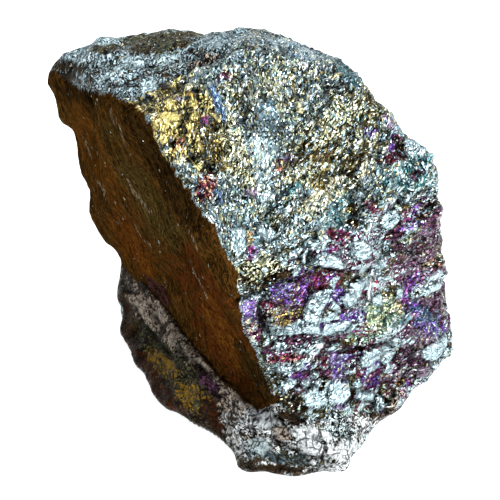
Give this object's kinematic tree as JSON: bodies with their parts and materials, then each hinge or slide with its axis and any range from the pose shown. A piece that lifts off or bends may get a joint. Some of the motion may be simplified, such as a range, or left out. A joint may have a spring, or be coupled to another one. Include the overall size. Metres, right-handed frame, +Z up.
{
  "type": "bornite specimen",
  "caption": "Hand specimen of iridescent tarnished copper ore, broken to flat faces, with a foot of white vein quartz that it rests on.",
  "frame": {"origin": "under the middle of the stone's box, on the surface that it rests on", "axes": "+Z up, -Y towards the bright face's toe and the viewer, +X towards the bright shoulder; the stone is longest along X"},
  "size_m": [0.0711, 0.0605, 0.0533],
  "materials": {
    "ore": "tarnished copper-iron sulphide with a many-coloured film, iron-stained on one side, and milky quartz at the foot"
  },
  "bodies": {
    "root": {"bornite_specimen": "ore"}
  },
  "joints": []
}
